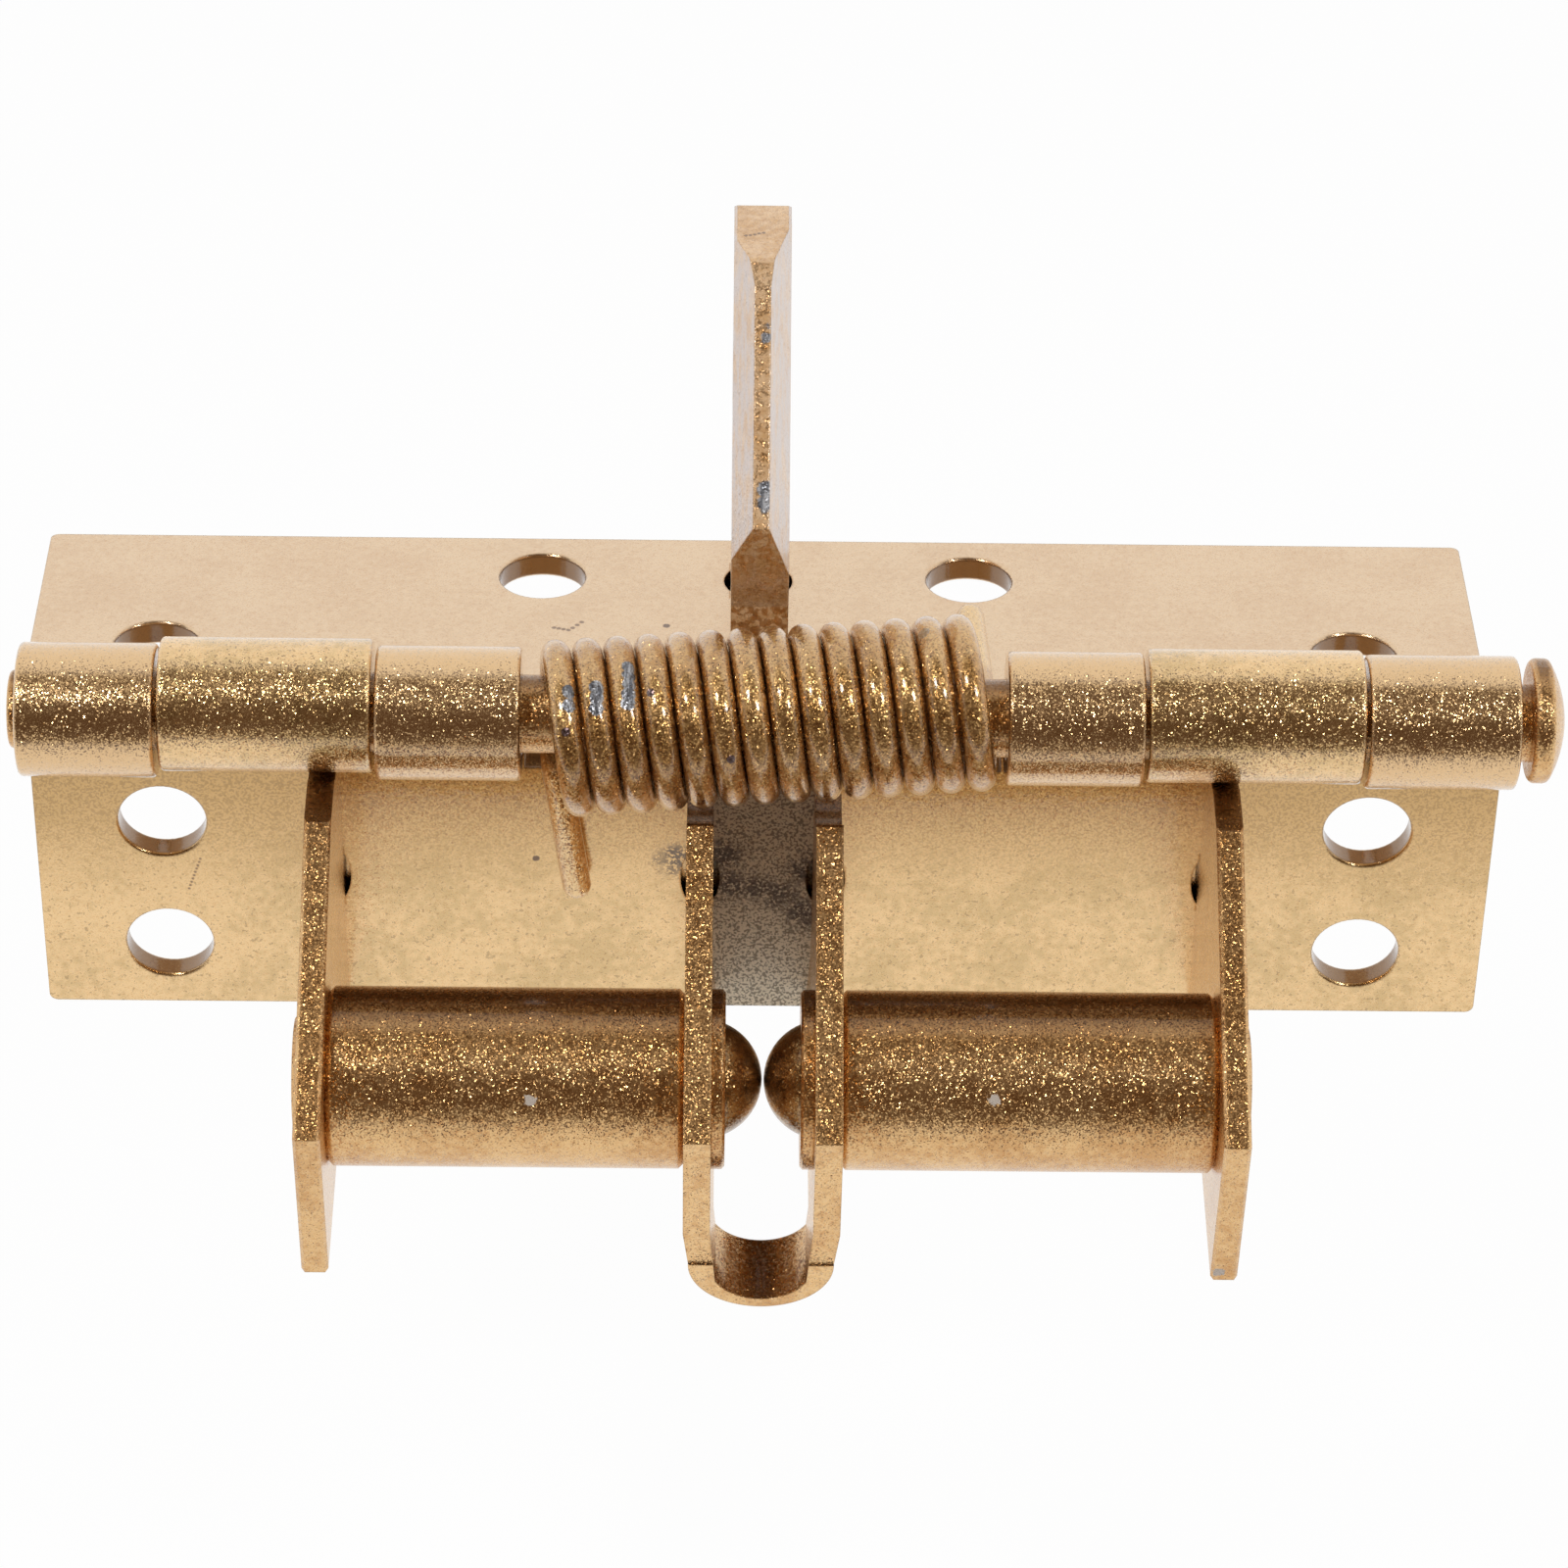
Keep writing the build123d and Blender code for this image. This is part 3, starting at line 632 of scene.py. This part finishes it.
# %% Where the wire leaves the coil
def angle_below(x, face):
    """How far below a leaf's own direction the wire leaves the coil, so that after its bend it lies on the
    leaf. The sine of that angle is (bend radius - leg's height over the coil's middle) / (coil radius + bend
    radius)."""
    height = LEG_HEIGHT - COIL_LEAN * (x - COIL_MIDDLE) * rise.dot(face)
    return asin((BEND_RADIUS - height) / (COIL_RADIUS + BEND_RADIUS))


first_angle = -REST_ANGLE + angle_below(COIL_START, DOOR_FACE)
last_angle = 2 * pi * TURNS - angle_below(coil_end, FRAME_FACE)
start_arm = np.array([0.0, cos(first_angle), sin(first_angle)])
across = unit(start_arm - coil_axis * start_arm.dot(coil_axis))
upward = np.cross(coil_axis, across)
coil_place = PIN + COIL_START * ALONG_PIN + rise * COIL_LEAN * (COIL_START - COIL_MIDDLE)
print("the wire turns", round((last_angle - first_angle) / (2 * pi), 2), "times round the pin")

# %% The coil's middle line
POINTS_IN_A_TURN = 72


def coil_line(count):
    """Points of the screw line: radius times (cos a, sin a) across the axis and pitch times a / 360 along."""
    angle = np.linspace(0, last_angle - first_angle, count)[:, None]
    along = coil_axis * PITCH * angle / (2 * pi)
    return coil_place + COIL_RADIUS * (np.cos(angle) * across + np.sin(angle) * upward) + along


turns_line = coil_line(TURNS * POINTS_IN_A_TURN)
print("the coil's line has", len(turns_line), "points")

# %% [markdown]
# At each end the wire bends round an arc until it runs along its leaf, and then goes straight on. The tube's
# radius shrinks along a quarter circle at the very end, which rounds the tip.

# %% The bends and the legs
ARC_POINTS, STRAIGHT_POINTS, TIP_POINTS = 24, 14, 9


def leg_line(place, leave, out, reach, slant):
    """Points of a bend and its leg, with the radius of the wire at each: an arc from the direction in which
    the wire leaves the coil to the leg's own, the leg as far as its reach from the pin, and a round tip."""
    run = unit(out + slant * ALONG_PIN)
    turn = acos(float(leave.dot(run)))
    toward = unit(run - leave * leave.dot(run))
    angle = np.linspace(0, turn, ARC_POINTS)[1:, None]
    arc = place + BEND_RADIUS * (np.sin(angle) * leave + (1 - np.cos(angle)) * toward)
    length = reach - (arc[-1] - PIN).dot(out)
    straight = arc[-1] + np.linspace(0, length, STRAIGHT_POINTS)[1:, None] * run
    tip_angle = np.linspace(0, pi / 2, TIP_POINTS)[1:]
    tip = straight[-1] + WIRE_RADIUS * np.sin(tip_angle)[:, None] * run
    wire_radii = np.full(len(arc) + len(straight), WIRE_RADIUS)
    tip_radii = WIRE_RADIUS * np.cos(tip_angle).clip(1e-3)
    return np.vstack([arc, straight, tip]), np.concatenate([wire_radii, tip_radii])


into_door_leg = unit(turns_line[0] - turns_line[1])
into_frame_leg = unit(turns_line[-1] - turns_line[-2])
door_leg, door_radii = leg_line(turns_line[0], into_door_leg, DOOR_OUT, **DOOR_LEG)
frame_leg, frame_radii = leg_line(turns_line[-1], into_frame_leg, FRAME_OUT, **FRAME_LEG)
spring_line = np.vstack([door_leg[::-1], turns_line, frame_leg])
spring_radii = np.concatenate([door_radii[::-1], np.full(len(turns_line), WIRE_RADIUS), frame_radii])
print("spring wire", round(float(np.linalg.norm(np.diff(spring_line, axis=0), axis=1).sum())), "mm long")

# %% [markdown]
# A ring is then carried along the line. A ring needs a second direction besides the line's own, and where
# that direction jumps, the tube twists. Because the wire always runs round the leaning axis, that axis is a
# good one, and the rings never twist.

# %% A tube along a line
def tube(name, line, radii, side_hint, sides, material):
    """A closed tube: round each point stands a ring at point + radius (cos b * side + sin b * up), where side
    is hint x tangent and up is tangent x side, and the first and last rings close on one point each."""
    tangent = np.gradient(line, axis=0)
    tangent /= np.linalg.norm(tangent, axis=1)[:, None]
    side = np.cross(side_hint, tangent)
    side /= np.linalg.norm(side, axis=1)[:, None]
    up = np.cross(tangent, side)
    b = np.linspace(0, 2 * pi, sides, endpoint=False)[None, :, None]
    rings = line[:, None] + radii[:, None, None] * (np.cos(b) * side[:, None] + np.sin(b) * up[:, None])
    points = np.vstack([rings.reshape(-1, 3), line[:1], line[-1:]]) * MM
    index = np.arange(len(line) * sides).reshape(len(line), sides)
    after = np.roll(index, -1, axis=1)
    quads = np.stack([index[:-1], after[:-1], after[1:], index[1:]], axis=-1).reshape(-1, 4)
    first = np.full(sides, len(line) * sides)
    caps = np.vstack([
        np.stack([after[0], index[0], first], axis=-1),
        np.stack([index[-1], after[-1], first + 1], axis=-1),
    ])
    mesh = bpy.data.meshes.new(name)
    mesh.from_pydata(points, [], quads.tolist() + caps.tolist())
    mesh.shade_smooth()
    rest = mesh.attributes.new("rest_place", "FLOAT_VECTOR", "POINT")
    rest.data.foreach_set("vector", points.astype(np.float32).ravel())
    mesh.materials.append(material)
    made = bpy.data.objects.new(name, mesh)
    bpy.context.scene.collection.objects.link(made)
    return made


print("the line has", len(spring_line), "points, so the wire will have as many rings")

# %% [markdown]
# The frame leaf holds one end of the coil and the door leaf the other. The wire is made as one tube along
# the whole line, with both legs lying on their own leaves, and the CAD model's spring is hidden.

# %% The torsion spring's wire
SPRING_SIDES = 24

spring = tube("torsion_spring_wire", spring_line, spring_radii, coil_axis, SPRING_SIDES, spring_paint)
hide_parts("torsion_spring")
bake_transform(spring)
print("spring mesh", len(spring.data.polygons), "faces")

# %% [markdown]
# ## The balls' two springs
#
# Inside each barrel a coil of 1 mm steel wire pushes its ball towards the middle. They are hardly seen, but
# when the blade drives the balls apart they shorten. Each is drawn as the same kind of tube, from the ball's
# back to the plug in the barrel's end, and the CAD model's spring is hidden.

# %% The ball springs
CATCH_MIDDLE = on_door(0.62, 17.8, 16.5)
CATCH_WIRE_RADIUS, CATCH_COIL_RADIUS, CATCH_TURNS = 0.5, 3.15, 7
CATCH_START, LEFT_END, RIGHT_END = 7.347, 24.09, 25.29
CATCH_POINTS_IN_A_TURN, CATCH_SIDES = 48, 16


def ball_spring(name, side, end):
    """A screw line from a ball's back to end millimetres from the catch's middle: radius times (cos a, sin a)
    across the catch's axis, and the length times a / the last angle along it."""
    outward = side * ALONG_PIN
    angle = np.linspace(0, 2 * pi * CATCH_TURNS, CATCH_TURNS * CATCH_POINTS_IN_A_TURN)[:, None]
    distance = CATCH_START + (end - CATCH_START) * angle / angle[-1]
    circle = np.cos(angle) * DOOR_OUT + np.sin(angle) * np.cross(outward, DOOR_OUT)
    line = CATCH_MIDDLE + CATCH_COIL_RADIUS * circle + distance * outward
    made = tube(name + "_wire", line, np.full(len(line), CATCH_WIRE_RADIUS), outward, CATCH_SIDES, steel)
    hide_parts(name)
    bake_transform(made)
    print(name, len(made.data.polygons), "faces")


ball_spring("left_ball_spring", -1, LEFT_END)
ball_spring("right_ball_spring", 1, RIGHT_END)

# %% [markdown]
# ## Camera
#
# The photograph was taken with a long lens from 0.4 m, a third of the way up from level. The camera's place
# and turn come from matching the leaves' corners, the knuckles and the screw holes. A camera looks along its
# own minus Z, so its Z axis points back, away from the hinge.

# %% The camera
TILT = radians(32.071)
CAMERA_PLACE = (-2.771, -357.05, 214.60)
LENS, SENSOR = 138.3, 36


def from_view(x, down, away):
    """A direction given along the pin, down and away from the camera, turned into the model's axes."""
    return np.array([x, -down * sin(TILT) + away * cos(TILT), -down * cos(TILT) - away * sin(TILT)])


def stand(made, place, side, over, back):
    """Put a camera or a lamp at a place in millimetres, its X, Y and Z axes along side, over and back."""
    pose = np.eye(4)
    pose[:3] = np.column_stack([side, over, back, np.array(place) * MM])
    made.matrix_world = Matrix(pose.tolist())
    bpy.context.scene.collection.objects.link(made)


camera_right = from_view(0.99989, -0.009372, -0.011536)
camera_down = from_view(0.009371, 0.999956, -0.000108)
camera_ahead = from_view(0.011536, 0, 0.999933)

camera_data = bpy.data.cameras.new("camera")
camera_data.lens = LENS
camera_data.sensor_width = SENSOR
camera_data.clip_start = 0.01
camera_data.clip_end = 10
camera = bpy.data.objects.new("camera", camera_data)
stand(camera, CAMERA_PLACE, camera_right, -camera_down, -camera_ahead)
bpy.context.scene.camera = camera
print("the camera is", round(float(np.linalg.norm(np.array(CAMERA_PLACE) - PIN))), "mm from the pin")

# %% [markdown]
# ## The tent
#
# In the photograph, what leans up, back, down or to the side looks pale, and what faces the camera looks
# dark. That is how a metal looks in a white tent that is open in front, where the room is dim: it mirrors
# the cloth in most directions and the room in one. Lamps alone on a black world would leave a gold hinge
# nearly black. So the world is such a tent: white, with a dim brown patch in front. To the camera itself it
# is plain white, as the photograph's background is.

# %% The world
DIM_ROOM = "#523B26"
WHITE = "#FFFFFF"
ROOM_HEIGHT = radians(28)
CLOTH_EDGE, ROOM_EDGE = 0.22, 0.52

world = bpy.data.worlds.new("white tent")
bpy.context.scene.world = world
world.use_nodes = True
tree = world.node_tree
direction = add(tree, "TexCoord", out="Generated")
room_middle = (0, -cos(ROOM_HEIGHT), sin(ROOM_HEIGHT))
toward_room = add(tree, "VectorMath", [direction, room_middle], "Value", operation="DOT_PRODUCT")
dim = add(tree, "MapRange", [toward_room, CLOTH_EDGE, ROOM_EDGE], **SMOOTH)
tent = add(tree, "Mix", {0: dim, 6: linear(WHITE), 7: linear(DIM_ROOM)}, 2, **COLOURS)
to_camera = add(tree, "LightPath", out="Is Camera Ray")
seen_world = add(tree, "Mix", {0: to_camera, 6: tent, 7: linear(WHITE)}, 2, **COLOURS)
feed(tree, tree.nodes["Background"], {"Color": seen_world, "Strength": 1.0})
print("the room's middle is", round(ROOM_HEIGHT * 180 / pi), "degrees up")

# %% [markdown]
# ## The floor
#
# The hinge stands on white paper that runs out of the picture. A floor lit by lamps would come out grey, and
# one lit until it is white would bleach the gold. So the paper glows at a strength of 1, which is white, but
# only for the camera, mirrors and glass, and a little of the real paper is mixed in to keep the hinge's soft
# shadow. Its front part lies in the dim room, and mirrors show it as dim.

# %% The floor, in metres
FLOOR_HEIGHT, FLOOR_HALF = -0.075, 3
PAPER_END, ROOM_START = -0.09, -0.22
GLOW_SHARE = 0.96

corners = [(x * FLOOR_HALF, y * FLOOR_HALF, FLOOR_HEIGHT) for x, y in ((-1, -1), (1, -1), (1, 1), (-1, 1))]
floor_mesh = bpy.data.meshes.new("floor")
floor_mesh.from_pydata(corners, [], [(0, 1, 2, 3)])
floor = bpy.data.objects.new("floor", floor_mesh)
bpy.context.scene.collection.objects.link(floor)
paper = bpy.data.materials.new("white paper floor")
paper.use_nodes = True
floor_mesh.materials.append(paper)
tree = paper.node_tree
feed(tree, tree.nodes["Principled BSDF"], {"Base Color": linear("#F4F4F4"), "Roughness": 0.9})
print("the floor lies", round(FLOOR_HEIGHT / MM), "mm below the frame leaf's back")

# %% The floor's glow
to_camera = add(tree, "LightPath", out="Is Camera Ray")
to_mirror = add(tree, "LightPath", out="Is Glossy Ray")
through_glass = add(tree, "LightPath", out="Is Transmission Ray")
seen = add(tree, "Math", [to_camera, to_mirror], operation="MAXIMUM")
seen = add(tree, "Math", [seen, through_glass], operation="MAXIMUM")
seen = add(tree, "Math", [seen, GLOW_SHARE], operation="MULTIPLY")
distance_back = add(tree, "SeparateXYZ", [add(tree, "TexCoord", out="Object")], "Y")
in_front = add(tree, "MapRange", [distance_back, PAPER_END, ROOM_START], **SMOOTH)
no_camera = add(tree, "Math", [1.0, to_camera], operation="SUBTRACT")
in_front = add(tree, "Math", [in_front, no_camera], operation="MULTIPLY")
shown = add(tree, "Mix", {0: in_front, 6: linear(WHITE), 7: linear(DIM_ROOM)}, 2, **COLOURS)
glow = add(tree, "Emission", {"Color": shown, "Strength": 1.0})
paper_or_glow = add(tree, "MixShader", [seen, tree.nodes["Principled BSDF"].outputs[0], glow])
feed(tree, tree.nodes["Material Output"], {"Surface": paper_or_glow})
print("the paper's own share is", round(1 - GLOW_SHARE, 2))

# %% [markdown]
# ## The lamps
#
# Two small lamps stand beside the camera. They are what the flakes catch: without them the faces turned to
# the camera would be plain brown, and with large ones the sparks would run together.

# %% The lamps
LAMP_SIZE = 65
LAMP_TARGET = (0, -15, 0)


def lamp(name, place, power):
    """A square soft lamp at a place in millimetres, turned to its target, with its power in watts."""
    data = bpy.data.lights.new(name, "AREA")
    data.size = LAMP_SIZE * MM
    data.energy = power
    back = unit(np.array(place) - np.array(LAMP_TARGET))
    side = unit(np.cross(FRAME_FACE, back))
    stand(bpy.data.objects.new(name, data), place, side, np.cross(back, side), back)
    print(name, power, "W")


lamp("lamp at the left of the camera", (-200, -230, 360), 0.6)
lamp("lamp at the right of the camera", (260, -240, 290), 0.5)

# %% [markdown]
# ## Colours
#
# The colours are shown as plain sRGB: a film-like look would grey the white background and the paint on it.

# %% The colour view
bpy.context.scene.view_settings.view_transform = "Standard"
print("view transform", bpy.context.scene.view_settings.view_transform)
